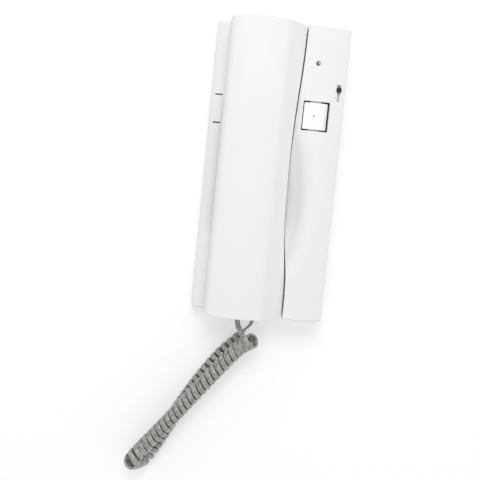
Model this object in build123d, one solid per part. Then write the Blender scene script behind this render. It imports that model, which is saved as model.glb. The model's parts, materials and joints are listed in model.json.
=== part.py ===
from build123d import *
import math
import numpy
import os

# Door-entry wall telephone with a lift-off handset, a push button and a curly cord.
# The phone lies on its back. X runs across it, Y from its cord end to its top and Z out of
# its face. The origin is the centre of the wall plate's back face. All sizes are millimetres.
# A name that ends in _in is a distance inwards from the nearest side or end of its carrier.

os.makedirs("parts", exist_ok=True)

# Base, outside
base_width = 99.0
base_length = 220.0
base_bow = 0.6
corner_radius = 2.0
edge_radius = 1.2
cover_wall = 2.2
rim_gap = 0.5
ledge_width = 9.0
ledge_edge_z = 13.0
cradle_z = 16.0

# Panel beside the handset: an arched strip
panel_crest_z = 34.0
panel_edge_z = 31.0
panel_crest_in = 18.5
panel_start_x = 8.0

# Finger valley, turned about an axis along Y
valley_x = 8.5
valley_z = 41.0
valley_profile = [
    (10.0, 80.0), (12.4, 60.0), (12.9, 44.0), (13.3, 32.0), (17.5, 10.0),
    (20.8, -14.0), (20.8, -36.0), (16.5, -64.0), (10.0, -86.0),
]

crest_radius = 15.0

# Handset
handset_left_in = 9.8
handset_overhang = 1.0
handset_bow = 2.0
handset_corner = 2.5
handset_wall = 2.0
handset_top_z = 45.0
handset_crease_x = 3.5
handset_crease_z = 42.2
handset_shoulder_z = 41.0
shoulder_radius = 7.0
crease_radius = 12.0
facet_fall = 0.8
neck_curve = [(18.7, -80.0), (15.5, -50.0), (13.7, -8.0), (13.5, 15.0), (15.1, 62.0)]
neck_bottom_x = 19.3
neck_top_x = 16.6
parting_z = 28.0
pad_gap = 0.3
grip_z = 25.0
grip_half = 40.0
grip_slope = 10.0
grip_blend = 9.0
cradle_gap = 1.1
lip_gap = 0.15
lip_thickness = 0.9
lip_height = 1.3

# Ear and mouth ends
capsule_x = -11.5
ear_in = 27.0
ear_radius = 22.0
ear_drop = 3.0
mouth_in = 36.0
mouth_radius = 14.0
mouth_drop = 1.6
well_clearance = 1.5
face_plate = 1.8
ear_hole_radius = 1.0
ear_ring_step = 5.5
ear_rings = 1
mouth_rings = 0
capsule_radius = 17.5
capsule_height = 8.0
foam_thickness = 1.2
mic_radius = 4.85
mic_height = 6.0
boot_wall = 1.3

# Wall plate
plate_thickness = 2.5
plate_gap = 0.3
plate_rim = 1.5
plate_rim_height = 2.0
plate_stop = 1.0
screw_spacing = 60.0
screw_slot_radius = 2.25
screw_slot_length = 9.0
screw_slot_x = -14.0
cable_entry_width = 26.0
cable_entry_height = 34.0

# Circuit board
standoff_height = 2.5
standoff_radius = 3.0
board_thickness = 1.6
board_right_gap = 0.9
board_left_x = 3.0
board_jack_x = -9.0
board_low_in = 5.0
board_step_in = 24.0
board_mid_in = 37.0
board_top_in = 18.0
board_tongue_in = 28.5
board_notch_gap = 0.4
board_screw_in = 5.0
board_screw_low_in = 40.0
board_screw_right_y = 20.0
board_screw_hook_y = 13.5
board_screw_radius = 1.3
board_screw_head = 2.6
board_screw_length = 4.6

# Push button
button_in = 20.7
button_top_in = 66.3
button_width = 17.4
button_height = 19.6
button_window_x = 0.45
button_window_y = 0.1
button_window_width = 19.6
button_window_height = 21.9
button_stand = 0.5
button_wall = 1.6
button_bevel = 2.3
button_bevel_fall = 3.0
button_roof = 0.6
button_dimple = 0.7
button_travel = 1.0
button_lug_width = 8.0
button_lug_reach = 1.6
button_lug_height = 1.4
button_lug_drop = 0.6
guide_wall = 1.2
guide_gap = 0.3
guide_depth = 6.5
switch_side = 6.0
switch_height = 3.6
switch_floor = 0.5
plunger_radius = 1.6
plunger_gap = 0.15
plunger_height = 1.4
press_gap = 0.1

# Indicator
lamp_in = 22.2
lamp_top_in = 27.6
lens_radius = 1.5
lens_stand = 0.3
lens_clearance = 0.1
lens_dome = 2.0
lens_flange = 0.9
lens_countersink = 1.2
lamp_side = 3.2
lamp_height = 1.4

# Volume slider
slider_in = 4.9
slot_top_in = 41.7
slot_length = 12.2
slot_width = 1.8
slider_top_in = 45.2
slider_head = 3.4
slider_leg_length = 3.0
slider_leg_gap = 0.2
slider_stand = 1.6
recess_width = 5.6
recess_left = 2.3
recess_depth = 0.8
shutter_gap = 0.15
shutter_thickness = 0.75
slide_switch_height = 4.0
slide_switch_width = 3.6
slide_switch_length = 17.0

# Hook plunger
hook_x = 9.5
hook_in = 52.5
hook_width = 6.0
hook_length = 8.0
hook_gap = 0.2
hook_travel = 3.4
hook_flange = 1.2
hook_flange_over = 1.5
hook_tail = 4.6
spring_radius = 2.6
spring_wire = 0.5
spring_turns = 3
spring_sections = 12
spring_play = 0.05
spring_pin_gap = 0.15
hook_switch_back = 9.0
hook_switch_width = 6.4
hook_switch_length = 3.6

# Modular jacks and plugs
plug_width = 7.6
plug_height = 5.4
plug_length = 11.0
plug_out = 1.2
jack_clearance = 0.15
jack_wall = 1.6
jack_depth = 13.5
handset_jack_x = -13.2
handset_jack_z = 23.0
socket_under_lip = 1.3
base_jack_x = -0.7
base_jack_z = 8.6

# Latch on the ledge: two slits free a springy tab that snaps behind the wall plate
latch_top_in = 66.0
latch_half = 10.6
latch_slit_width = 1.0
latch_slit_length = 5.6
latch_slit_in = 5.8
latch_bulge = 0.6
hook_bar_x = (-22.0, 22.0)
hook_bar_width = 14.0
hook_bar_clearance = 1.5
hook_tooth_width = 10.0

# Call sounder and its slots in the lower end wall
sounder_in = 15.0
sounder_low_in = 22.0
sounder_radius = 11.0
sounder_height = 8.0
sound_slots = 4
sound_slot_pitch = 4.5
sound_slot_width = 1.6

# Terminal block
terminal_in = 16.5
terminal_y = -12.0
terminal_ways = 5
terminal_pitch = 5.0
terminal_width = 9.0
terminal_height = 10.0
terminal_screw_radius = 1.6

# Handset screws
handset_screw_radius = 1.2
handset_screw_head = 2.3

# Curly cord: a flat cord wound round a centre line that is folded back on itself.
# The places d, p, z run along the fold's line, across it and up.
cord_width = 4.1
cord_thickness = 1.9
coil_radius = 5.1
coil_turns = 54
coil_phase = 0.58
coil_sections = 12
fold_x = -5.6
fold_out = 21.4
fold_angle = 37.6
coil_places = [
    (-2.5, 1.5, 23.2), (6.0, 0.0, 18.9), (92.0, 0.0, 18.9), (132.0, -0.3, 20.2),
    (132.0, 7.6, 6.15), (100.0, 5.2, 6.15), (0.0, -4.4, 6.15),
]
coil_bends = [12.0, 300.0, 7.7, 7.7, 300.0]
start_stretch = 6.0
start_turns = 4.0
fold_stretch = 18.0
fold_turns = 2.0
tail_run = 5.0
handset_tail_exit = 5.4
base_tail_exit = 4.0
base_tail_places = [(-8.6, 9.0, 10.4), (-12.6, 12.9, 13.0)]

board_z = plate_thickness + standoff_height
board_top = board_z + board_thickness
half_width = base_width / 2
half_length = base_length / 2
handset_half = half_length + handset_overhang
cradle_under = cradle_z - cover_wall
pad_z = cradle_z + pad_gap
above = 2 * handset_top_z
handset_left = -half_width + handset_left_in
panel_crest_x = half_width - panel_crest_in
panel_cut_z = panel_edge_z - 11
ear_y = handset_half - ear_in
mouth_y = mouth_in - handset_half
button_x = half_width - button_in
button_y = half_length - button_top_in
lamp_x = half_width - lamp_in
lamp_y = half_length - lamp_top_in
slider_x = half_width - slider_in
slider_y = half_length - slider_top_in
slot_middle = half_length - slot_top_in - slot_length / 2
latch_y = half_length - latch_top_in
hook_y = half_length - hook_in
hook_switch_y = hook_y - hook_switch_back
sounder_x = half_width - sounder_in
sounder_y = sounder_low_in - half_length
terminal_x = half_width - terminal_in
board_right = half_width - cover_wall - board_right_gap
board_low_y = board_low_in - half_length
fold_y = -half_length - fold_out
jack_width = plug_width + 2 * (jack_clearance + jack_wall)
mouth_width = plug_width + 2 * jack_clearance
mouth_height = plug_height + 2 * jack_clearance
end_sections = coil_sections // 3
last_section = coil_turns * coil_sections - end_sections


def slab(low, high):
    """A block that spans the whole phone between two heights."""
    return Pos(0, 0, (low + high) / 2) * Box(3 * base_width, 3 * base_length, high - low)


def block(x, y, low, width, length, height, radius=0.0):
    """An upright block with its centre at x, y, its foot at low and rounded corners."""
    outline = RectangleRounded(width, length, radius) if radius else Rectangle(width, length)
    return Pos(x, y, low) * extrude(outline, height)


def post(x, y, low, high, radius):
    """An upright round post."""
    return Pos(x, y, low) * extrude(Circle(radius), high - low)


def bowed_outline(left, right, half, bow, radius):
    """A rectangle in plan whose two ends bow outwards; half is measured to the bow's top."""
    middle = (left + right) / 2
    edge = half - bow
    face = make_face([
        Line((left, -edge), (left, edge)),
        ThreePointArc((left, edge), (middle, half), (right, edge)),
        Line((right, edge), (right, -edge)),
        ThreePointArc((right, -edge), (middle, -half), (left, -edge)),
    ])
    return fillet(face.vertices(), radius)


def panel_height(x):
    """Height of the panel's arch, a circle through its crest and its outer edge, at x."""
    fall = panel_crest_z - panel_edge_z
    radius = (panel_crest_in ** 2 + fall ** 2) / (2 * fall)
    return panel_crest_z - radius + math.sqrt(radius ** 2 - (x - panel_crest_x) ** 2)


def cover_section(drop):
    """Cross-section of the base's upper surface, lowered by the wall for the inside."""
    slope = (cradle_z - ledge_edge_z) / ledge_width
    outside = half_width + 10
    ledge_in = -half_width + ledge_width
    lip = (panel_start_x, panel_height(panel_start_x) - drop)
    end = (outside, panel_edge_z - 5 - drop)
    return Plane.XZ * make_face([
        Line((-outside, -5), (-outside, ledge_edge_z - 10 * slope - drop)),
        Line((-outside, ledge_edge_z - 10 * slope - drop), (ledge_in, cradle_z - drop)),
        Line((ledge_in, cradle_z - drop), (panel_start_x, cradle_z - drop)),
        Line((panel_start_x, cradle_z - drop), lip),
        ThreePointArc(lip, (panel_crest_x, panel_crest_z - drop), (half_width, panel_edge_z - drop)),
        Line((half_width, panel_edge_z - drop), end),
        Line(end, (outside, -5)),
        Line((outside, -5), (-outside, -5)),
    ])


def neck_edge(shift, half):
    """The handset's S-shaped right edge in plan, moved right by shift."""
    low = (neck_bottom_x + shift, -half)
    high = (neck_top_x + shift, half)
    return Spline([low] + [(x + shift, y) for x, y in neck_curve] + [high], tangents=[(0, 1), (0, 1)])


def cradle_cutter(drop):
    """The channel that the handset lies in, open at both ends."""
    shift = cradle_gap + drop
    reach = half_length + 20
    edge = neck_edge(shift, handset_half)
    low = edge @ 0
    high = edge @ 1
    outline = make_face([
        edge,
        Line(high, (high.X, reach)),
        Line((high.X, reach), (-base_width, reach)),
        Line((-base_width, reach), (-base_width, -reach)),
        Line((-base_width, -reach), (low.X, -reach)),
        Line((low.X, -reach), low),
    ])
    return Pos(0, 0, cradle_z - drop) * extrude(outline, above)


def valley_cutter(drop):
    """The finger valley beside the handset's waist, a turned barrel."""
    points = [(radius + drop, y) for radius, y in valley_profile]
    first, last = points[0], points[-1]
    face = make_face([
        Spline(points),
        Line(last, (0, last[1])),
        Line((0, last[1]), (0, first[1])),
        Line((0, first[1]), first),
    ])
    return Pos(valley_x, 0, valley_z) * revolve(face, Axis.Y, 360)


def cover_form(drop):
    """The base's outer form, or its inside when drop is the wall."""
    low = rim_gap if drop == 0 else -1.0
    side = half_width - drop
    outline = bowed_outline(-side, side, half_length - drop, base_bow, corner_radius)
    body = Pos(0, 0, low) * extrude(outline, above) & extrude(cover_section(drop), base_length, both=True)
    if drop == 0:
        top = body.edges().filter_by(lambda e: e.center().Z > ledge_edge_z - 3)
        rim = top.filter_by(
            lambda e: abs(e.center().X) > half_width - 1 or abs(e.center().Y) > half_length - 2
        )
        rim = rim.filter_by(lambda e: e.bounding_box().size.Z < 12)
        body = fillet(rim, edge_radius)
    body -= valley_cutter(drop)
    if drop == 0:
        body = fillet(valley_crest(body), crest_radius)
    return body - cradle_cutter(drop)


def valley_crest(body):
    """The long edge between the finger valley and the panel's arch."""
    high = body.edges().filter_by(lambda e: e.center().Z > panel_edge_z - 3)
    right = high.filter_by(lambda e: panel_start_x + 0.5 < e.center().X < panel_crest_x + 5)
    return right.filter_by(lambda e: e.bounding_box().size.Y > 60 and e.bounding_box().size.X > 3)


def round_well(x, y, radius, depth):
    """A shallow round well in the cradle floor: the metal added below and the hollow cut."""
    bottom = cradle_z - depth
    wall = post(x, y, bottom - cover_wall, cradle_under + 0.1, radius + cover_wall)
    hollow = post(x, y, bottom, cradle_z + 1, radius)
    return wall, hollow


def front_cover():
    """The moulded front of the base."""
    shell = cover_form(0) - cover_form(cover_wall)
    for x, y, radius, drop in (
        (capsule_x, ear_y, ear_radius, ear_drop),
        (capsule_x, mouth_y, mouth_radius, mouth_drop),
    ):
        wall, hollow = round_well(x, y, radius + well_clearance, drop + 2 * pad_gap)
        shell = shell + wall - hollow
    window = (button_window_width, button_window_height, above, 0.8)
    shell -= block(button_x + button_window_x, button_y + button_window_y, panel_cut_z, *window)
    shell += button_guide() & cover_form(cover_wall - 0.4)
    shell -= lens_hole()
    shell -= block(slider_x, slot_middle, panel_cut_z, slot_width, slot_length, above)
    recess_x = slider_x - recess_left + recess_width / 2
    recess_floor = panel_height(slider_x) - recess_depth
    shell -= block(recess_x, slot_middle, recess_floor, recess_width, slot_length, above)
    hook_hole = (hook_width + 2 * hook_gap, hook_length + 2 * hook_gap)
    shell -= block(hook_x, hook_y, cradle_under - 1, *hook_hole, 8, 1.0)
    shell -= jack_window(base_jack_x, base_jack_z, -half_length)
    for side in (-1, 1):
        slit_y = latch_y + side * latch_half
        shell -= block(latch_slit_in - half_width, slit_y, 4, latch_slit_length, latch_slit_width, 14)
    shell += latch_pad() + latch_catch()
    for x in hook_bar_x:
        shell += block(x, half_length - cover_wall - 1.2, plate_thickness + 1.0, hook_bar_width, 2.6, 2.0)
    for i in range(sound_slots):
        x = sounder_x + (i - (sound_slots - 1) / 2) * sound_slot_pitch
        shell -= block(x, -half_length, board_top + 3, sound_slot_width, 8, 9)
    return shell


def lens_hole():
    """The hole for the lens, with its countersink."""
    hole = post(lamp_x, lamp_y, panel_cut_z, above, lens_radius + lens_clearance)
    face_z = panel_height(lamp_x)
    wide = lens_radius + lens_countersink
    return hole + Pos(lamp_x, lamp_y, face_z) * Cone(lens_radius, wide, lens_countersink)


def button_guide():
    """The walls under the panel that the push button's lugs run in."""
    low = panel_height(button_x) - cover_wall - guide_depth
    width = button_window_width + 2 * guide_gap
    height = button_window_height + 2 * (button_lug_reach + guide_gap)
    walls = block(button_x, button_y, low, width + 2 * guide_wall, height + 2 * guide_wall, 2 * guide_depth)
    return walls - block(button_x, button_y, low - 1, width, height, 3 * guide_depth)


def latch_pad():
    """The finger pad on the side of the springy tab, a little proud of the wall."""
    face = make_face([
        ThreePointArc(
            (-half_width, latch_y - latch_half + 1),
            (-half_width - latch_bulge, latch_y),
            (-half_width, latch_y + latch_half - 1),
        ),
        Line((-half_width, latch_y + latch_half - 1), (-half_width + 1, latch_y + latch_half - 1)),
        Line((-half_width + 1, latch_y + latch_half - 1), (-half_width + 1, latch_y - latch_half + 1)),
        Line((-half_width + 1, latch_y - latch_half + 1), (-half_width, latch_y - latch_half + 1)),
    ])
    return Pos(0, 0, 3) * extrude(face, ledge_edge_z - 3 - edge_radius - 0.5)


def latch_catch():
    """The wedge inside the tab that the wall plate's latch holds."""
    inner = -half_width + cover_wall
    face = Plane.XZ * make_face(Polyline([
        (inner - 0.3, 3.4), (inner + 1.4, 5.0), (inner + 1.4, 5.6), (inner - 0.3, 5.6), (inner - 0.3, 3.4)
    ]))
    return Pos(0, latch_y, 0) * extrude(face, latch_half - 3, both=True)


def jack_window(x, z, end_y):
    """The rectangular mouth of a modular jack in an end wall."""
    return Pos(x, end_y, z) * Box(mouth_width, 16, mouth_height)


def wall_plate():
    """The plate that screws to the wall, with its rim, standoffs and latches."""
    inset = cover_wall + plate_gap
    side = half_width - inset
    end = half_length - inset
    outer = bowed_outline(-side, side, end, base_bow, corner_radius)
    inner = bowed_outline(plate_rim - side, side - plate_rim, end - plate_rim, base_bow, 1.0)
    plate = extrude(outer, plate_thickness)
    rim = Pos(0, 0, plate_thickness) * extrude(outer - inner, plate_rim_height)
    rim -= Pos(-half_width, latch_y, 5) * Box(14, 2 * latch_half + 1, 10)
    for x in hook_bar_x:
        rim -= Pos(x, half_length, 5) * Box(hook_bar_width + 2 * hook_bar_clearance, 16, 10)
    rim -= Pos(base_jack_x, -half_length, 5) * Box(plug_width + 9, 20, 10)
    plate += rim
    for x, y in board_screw_places():
        plate += post(x, y, plate_thickness, board_z, standoff_radius)
        plate -= post(x, y, plate_stop, board_z + 1, board_screw_radius)
    for side in (-1, 1):
        slot = Pos(screw_slot_x, side * screw_spacing / 2, -1) * Rot(0, 0, 90)
        plate -= slot * extrude(SlotOverall(screw_slot_length, 2 * screw_slot_radius), plate_thickness + 2)
    plate -= block(screw_slot_x, 0, -1, cable_entry_width, cable_entry_height, plate_thickness + 2, 3.0)
    latch_x = -half_width + cover_wall + 2.2
    plate += block(latch_x, latch_y, plate_thickness, 1.4, 2 * latch_half - 8, 5.2)
    plate += block(latch_x - 0.9, latch_y, plate_thickness + 3.5, 1.4, 2 * latch_half - 8, 1.7)
    for x in hook_bar_x:
        plate += block(x, half_length - cover_wall - 4.2, plate_thickness, hook_tooth_width, 1.6, 5.2)
        plate += block(x, half_length - cover_wall - 3.0, plate_thickness + 3.4, hook_tooth_width, 3.4, 1.8)
    pin_radius = spring_radius - spring_wire - spring_pin_gap
    plate += post(hook_x, hook_y, plate_thickness, plate_thickness + 1.2, pin_radius)
    return plate


def board_screw_places():
    """Centres of the board's four screws."""
    left = board_left_x + board_screw_in
    right = board_right - board_screw_in
    low_y = board_screw_low_in - half_length
    return [(left, hook_y - board_screw_hook_y), (right, board_screw_right_y), (left, low_y), (right, low_y)]


def circuit_board():
    """The board on the wall plate: an L with a tongue at the top, notched for the jack."""
    tongue_x = half_width - board_tongue_in
    top_y = half_length - board_top_in
    mid_y = half_length - board_mid_in
    step_y = board_step_in - half_length
    outline = make_face(Polyline([
        (board_jack_x, board_low_y), (board_right, board_low_y), (board_right, top_y), (tongue_x, top_y),
        (tongue_x, mid_y), (board_left_x, mid_y), (board_left_x, step_y),
        (board_jack_x, step_y), (board_jack_x, board_low_y),
    ]))
    board = Pos(0, 0, board_z) * extrude(outline, board_thickness)
    notch_end = cover_wall + jack_depth + board_notch_gap - half_length
    notch_middle = (board_low_y + notch_end) / 2
    notch_width = jack_width + board_notch_gap
    notch_length = notch_end - board_low_y
    board -= block(base_jack_x, notch_middle, board_z - 1, notch_width, notch_length, board_thickness + 2)
    board -= post(hook_x, hook_y, board_z - 1, board_top + 1, spring_radius + 0.6)
    for x, y in board_screw_places():
        board -= post(x, y, board_z - 1, board_top + 1, board_screw_radius + 0.2)
    return board


def board_screws():
    """The screws that hold the board, in one group."""
    screws = []
    for x, y in board_screw_places():
        shank = post(x, y, board_top - board_screw_length, board_top, board_screw_radius - 0.05)
        head = post(x, y, board_top, board_top + 1.6, board_screw_head)
        slot = block(x, y, board_top + 0.9, 0.8, 2.4 * board_screw_head, 2)
        screws.append(shank + head - slot)
    return Compound(screws)


def terminal_block():
    """A five-way screw terminal on the board."""
    length = terminal_ways * terminal_pitch + 1.0
    body = block(terminal_x, terminal_y, board_top, terminal_width, length, terminal_height)
    top = board_top + terminal_height
    front = terminal_x - terminal_width / 2
    body -= block(front, terminal_y, top - 3, 4, length + 2, 5)
    for y in terminal_places():
        body -= post(terminal_x + 1.2, y, board_top + 4, top + 1, terminal_screw_radius + 0.2)
        body -= block(front, y, board_top + 1.5, 8, 3.0, 3.2)
    return body


def terminal_places():
    """Positions along Y of the terminal's ways."""
    middle = (terminal_ways - 1) / 2
    return [terminal_y + (i - middle) * terminal_pitch for i in range(terminal_ways)]


def terminal_screws():
    """The clamping screws, in one group."""
    screws = []
    for y in terminal_places():
        top = board_top + terminal_height - 0.8
        screw = post(terminal_x + 1.2, y, board_top + 4.0, top, terminal_screw_radius)
        screws.append(screw - block(terminal_x + 1.2, y, top - 0.8, 5, 0.6, 2))
    return Compound(screws)


def door_button():
    """The push button's cap with its two retaining lugs and the stem that reaches the switch."""
    top = panel_height(button_x) + button_stand
    lug_top = panel_height(button_x) - cover_wall - button_lug_drop
    low = lug_top - button_lug_height
    stem_low = board_top + switch_height + plunger_height + press_gap
    cap = block(button_x, button_y, low, button_width, button_height, top - low, 0.8)
    cap = fillet(cap.edges().group_by(Axis.Z)[-1], 0.4)
    right = button_x + button_width / 2
    wedge = Plane.XZ * make_face(Polyline([
        (right - button_bevel, top + 0.01), (right + 1, top + 0.01),
        (right + 1, top - button_bevel_fall), (right - button_bevel, top + 0.01),
    ]))
    cap -= Pos(0, button_y, 0) * extrude(wedge, button_height, both=True)
    cap -= Pos(button_x - 1.0, button_y, top) * Cone(0.2, 2 * button_dimple - 0.2, button_dimple)
    inside_width = button_width - 2 * button_wall
    inside_height = button_height - 2 * button_wall
    cap -= block(button_x, button_y, low - 1, inside_width, inside_height, top - low - button_roof)
    lug_span = button_window_height + 2 * button_lug_reach
    lugs = block(button_x, button_y, low, button_lug_width, lug_span, button_lug_height)
    lugs -= block(button_x, button_y, low - 1, inside_width, inside_height, 9)
    stem = block(button_x, button_y, stem_low, 5.0, 1.4, top - stem_low - 1)
    stem += block(button_x, button_y, stem_low, 1.4, 5.0, top - stem_low - 1)
    stem += block(button_x, button_y, stem_low, 5.0, 5.0, 1.4)
    return cap + lugs + stem


def push_switch():
    """The push switch under the button, with the bore that its plunger runs in."""
    body = block(button_x, button_y, board_top, switch_side, switch_side, switch_height)
    bore_low = board_top + switch_floor
    bore_radius = plunger_radius + plunger_gap
    return body - post(button_x, button_y, bore_low, board_top + switch_height + 1, bore_radius)


def switch_plunger():
    """The plunger of the push switch, which the button's stem presses."""
    low = board_top + switch_floor + button_travel + plunger_gap
    return post(button_x, button_y, low, board_top + switch_height + plunger_height, plunger_radius)


def status_lens():
    """The clear light pipe with a domed top."""
    dome_z = panel_height(lamp_x) + lens_stand - lens_dome
    low = board_top + lamp_height + 0.2
    under = panel_height(lamp_x) - cover_wall - 0.4
    pipe = post(lamp_x, lamp_y, low, above, lens_radius)
    pipe &= Pos(lamp_x, lamp_y, dome_z) * Sphere(lens_dome) + post(lamp_x, lamp_y, low, dome_z, lens_dome)
    return pipe + post(lamp_x, lamp_y, under - lens_flange, under, lens_radius + 1.0)


def lamp():
    """The lamp on the board, below the light pipe."""
    return block(lamp_x, lamp_y, board_top, lamp_side, lamp_side, lamp_height)


def volume_knob():
    """The slider's head in its recess and the leg that reaches the switch."""
    face_z = panel_height(slider_x) - recess_depth
    head = block(slider_x, slider_y, face_z + 0.1, slider_head, slider_head, slider_stand, 0.6)
    head = chamfer(head.edges().group_by(Axis.Z)[-1], 0.4)
    leg_width = slot_width - 2 * slider_leg_gap
    low = board_top + slide_switch_height - 1.2
    leg = block(slider_x, slider_y, low, leg_width, slider_leg_length, face_z + 0.2 - low)
    shoulder = block(slider_x, slider_y, face_z - cover_wall - 1.8, slider_head, slider_head, 1.2)
    return head + leg + shoulder


def slider_shutter():
    """The strip under the panel that rides with the knob and keeps dust out of its slot."""
    side = slider_x + slider_head / 2
    top = panel_height(side) - cover_wall - shutter_gap
    length = 2 * slot_length - slider_head + 1.0
    strip = block(slider_x, slider_y, top - shutter_thickness, slider_head, length, shutter_thickness)
    hole_width = slot_width - 2 * slider_leg_gap + 2 * shutter_gap
    return strip - block(slider_x, slider_y, 0, hole_width, slider_leg_length + 2 * shutter_gap, above)


def slide_switch():
    """The slide switch on the board, with the groove that takes the knob's leg."""
    size = (slide_switch_width, slide_switch_length, slide_switch_height)
    groove_low = board_top + slide_switch_height - 1.5
    body = block(slider_x, slot_middle, board_top, *size)
    return body - block(slider_x, slot_middle, groove_low, slot_width, slot_length + 1.0, 3)


def call_sounder():
    """The round call sounder behind the slots of the lower end."""
    top = board_top + sounder_height
    body = post(sounder_x, sounder_y, board_top, top, sounder_radius)
    body = chamfer(body.edges().group_by(Axis.Z)[-1], 1.0)
    return body - post(sounder_x, sounder_y, top - 1.5, top + 1, 2.5)


def hook_plunger():
    """The cradle's plunger, held down by the handset at rest."""
    flange_top = cradle_under - hook_travel
    low = flange_top - hook_flange
    stem = block(hook_x, hook_y, low, hook_width, hook_length, pad_z - low - 0.1, 0.9)
    stem = chamfer(stem.edges().group_by(Axis.Z)[-1], 0.5)
    flange_width = hook_width + 2 * hook_flange_over
    flange_length = hook_length + 2 * hook_flange_over + hook_tail
    return stem + block(hook_x, hook_y - hook_tail / 2, low, flange_width, flange_length, hook_flange, 1.0)


def hook_switch():
    """The leaf switch beside the plunger, worked by its flange."""
    top = cradle_under - hook_travel - hook_flange - press_gap
    height = top - board_top - 0.6
    body = block(hook_x, hook_switch_y, board_top, hook_switch_width, hook_switch_length, height)
    return body + block(hook_x, hook_switch_y, top - 0.7, 2.4, 1.6, 0.7)


def cord_section(place, out, way, thickness, width):
    """A flat cross-section at a place, its thickness along out and square to way."""
    return Plane(origin=place, x_dir=out, z_dir=way) * Rectangle(thickness, width)


def section_corners(place, out, way, thickness, width):
    """The corners of a flat cross-section at a place."""
    side = way.cross(out).normalized() * (width / 2)
    face = side.cross(way).normalized() * (thickness / 2)
    return [place - face - side, place + face - side, place + face + side, place - face + side]


def flat_face(*corners):
    """A flat face between corners."""
    return Face(Wire.make_polygon(corners))


def wound(places, outs, thickness, width, lead):
    """A flat wire or cord through places, its face kept towards outs, with straight ends.

    Each place but the first and last gets a section; lead is the length of the ends. Flat
    triangles join the sections, because a wall that twists between them needs many more."""
    count = len(places)
    ways = [(places[i + 1] - places[i - 1]).normalized() for i in range(1, count - 1)]
    places, outs = places[1:-1], outs[1:-1]
    places = [places[0] - ways[0] * lead] + places + [places[-1] + ways[-1] * lead]
    outs = [outs[0]] + outs + [outs[-1]]
    ways = [ways[0]] + ways + [ways[-1]]
    rings = [section_corners(p, o, w, thickness, width) for p, o, w in zip(places, outs, ways)]
    faces = [flat_face(*rings[0]), flat_face(*rings[-1])]
    for ring, following in zip(rings, rings[1:]):
        for i in range(4):
            j = (i + 1) % 4
            faces.append(flat_face(ring[i], ring[j], following[j]))
            faces.append(flat_face(ring[i], following[j], following[i]))
    return Solid(Shell(faces))


def hook_spring():
    """The plunger's return spring, round the pin on the wall plate."""
    low = plate_thickness + spring_play + spring_wire / 2
    high = cradle_under - hook_travel - hook_flange - spring_play - spring_wire / 2
    radius = spring_radius - spring_wire / 2
    steps = spring_turns * spring_sections
    places, outs = [], []
    for i in range(-1, steps + 2):
        angle = 2 * math.pi * i / spring_sections
        out = Vector(math.cos(angle), math.sin(angle), 0)
        places.append(Vector(hook_x, hook_y, low + (high - low) * i / steps) + out * radius)
        outs.append(out)
    return wound(places, outs, spring_wire, spring_wire, 0.05)


def jack(x, z, end_y, low, high):
    """A modular jack behind an end wall: a box with its mouth towards -Y."""
    body = Pos(x, end_y + jack_depth / 2, (low + high) / 2) * Box(jack_width, jack_depth, high - low)
    return body - Pos(x, end_y, z) * Box(mouth_width, 2 * (plug_length + 0.8), mouth_height)


def plug(x, z, end_y):
    """A modular plug, pushed home, with its latch and the flat cord's hole at the rear."""
    back = end_y - plug_out
    body = Pos(x, back + plug_length / 2, z) * Box(plug_width, plug_length, plug_height - 0.8)
    body = chamfer(body.edges().filter_by(Axis.Z), 0.5)
    latch = Pos(x, back + plug_length / 2 + 1.5, z + plug_height / 2 - 0.3)
    latch *= Box(3.2, plug_length - 3, 0.6)
    return body + latch


def base_socket():
    """The jack in the base's lower end, with the wings that rest on the board."""
    wall_y = -half_length + cover_wall + 0.2
    body = jack(base_jack_x, base_jack_z, wall_y, 3.6, cradle_under - 0.4)
    middle = wall_y + jack_depth / 2
    wings = Pos(base_jack_x, middle, board_top + 0.6) * Box(jack_width + 4, jack_depth - 3, 1.2)
    hollow = Pos(base_jack_x, middle, board_top) * Box(jack_width - 0.4, jack_depth, 4)
    return body + (wings - hollow)


def coil_place(d, p, z):
    """A point given along the fold's line, across it and up."""
    turn = math.radians(fold_angle)
    x = fold_x - d * math.sin(turn) + p * math.cos(turn)
    y = fold_y - d * math.cos(turn) - p * math.sin(turn)
    return Vector(x, y, z)


def eased(share):
    """A smooth step from 0 to 1."""
    share = min(max(share, 0.0), 1.0)
    return share * share * (3 - 2 * share)


def coil_stations():
    """Points of the cord's middle round the folded centre line, and the way out at each.

    The turns are spread at the start, which is lifted, and round the fold."""
    axis = Wire(FilletPolyline(*[coil_place(*place) for place in coil_places], radius=coil_bends).edges())
    pitch = (axis.length - fold_stretch - start_stretch) / coil_turns
    start = axis @ 0
    fold_share = max(range(1001), key=lambda i: (axis @ (i / 1000) - start).length) / 1000
    fold_turn = (fold_share * axis.length - start_stretch - fold_stretch / 2) / pitch
    normal = Vector(0, 0, 1)
    places, outs = [], []
    for i in range(coil_turns * coil_sections + 1):
        turn = i / coil_sections
        reach = pitch * turn + start_stretch * eased(turn / start_turns)
        reach += fold_stretch * eased((turn - fold_turn) / fold_turns + 0.5)
        share = min(reach / axis.length, 1.0)
        way = axis % share
        normal = (normal - way * normal.dot(way)).normalized()
        angle = 2 * math.pi * (turn + coil_phase)
        out = normal * math.cos(angle) - way.cross(normal) * math.sin(angle)
        places.append(axis @ share + out * coil_radius)
        outs.append(out)
    return places, outs


def cord_frame(places, outs, i):
    """Place, direction and outward way of the coil's section i."""
    return places[i], (places[i + 1] - places[i - 1]).normalized(), outs[i]


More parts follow.
